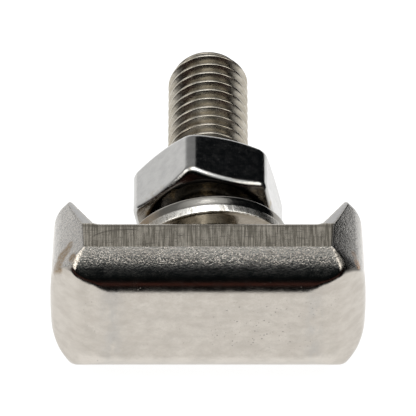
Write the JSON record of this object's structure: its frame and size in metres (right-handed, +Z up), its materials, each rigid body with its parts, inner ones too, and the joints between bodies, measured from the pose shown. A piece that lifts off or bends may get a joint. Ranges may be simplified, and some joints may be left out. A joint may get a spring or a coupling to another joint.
{
  "type": "battery terminal t-bolt",
  "caption": "T-headed bolt for a battery terminal clamp, with a loose flat washer and a hexagon nut on its threaded shank.",
  "frame": {"origin": "centre of the head's flat outer face", "axes": "+Y along the shank away from the head, +X along the head's length, +Z up as the bolt lies on its side"},
  "size_m": [0.0228, 0.0289, 0.0118],
  "materials": {
    "t_bolt": "bright plated steel, lightly grained by forging",
    "washer": "bright plated steel with a torn stamped rim",
    "hex_nut": "bright plated steel"
  },
  "bodies": {
    "bolt": {"t_bolt": "t_bolt"},
    "loose_washer": {"washer": "washer"},
    "nut": {"hex_nut": "hex_nut"}
  },
  "joints": [
    {"name": "nut_travel", "type": "slide", "parent": "bolt", "child": "loose_washer", "axis": [0, 1, 0], "range_m": [-0.0015, 0.011]},
    {"name": "nut_turn", "type": "hinge", "parent": "loose_washer", "child": "nut", "pos_m": [0, 0.01335, 0], "axis": [0, 1, 0], "range_deg": [-540, 3960]}
  ],
  "couplings": [
    {"joint": "nut_turn", "follows": "nut_travel", "rad_per_m": 6283.2}
  ]
}
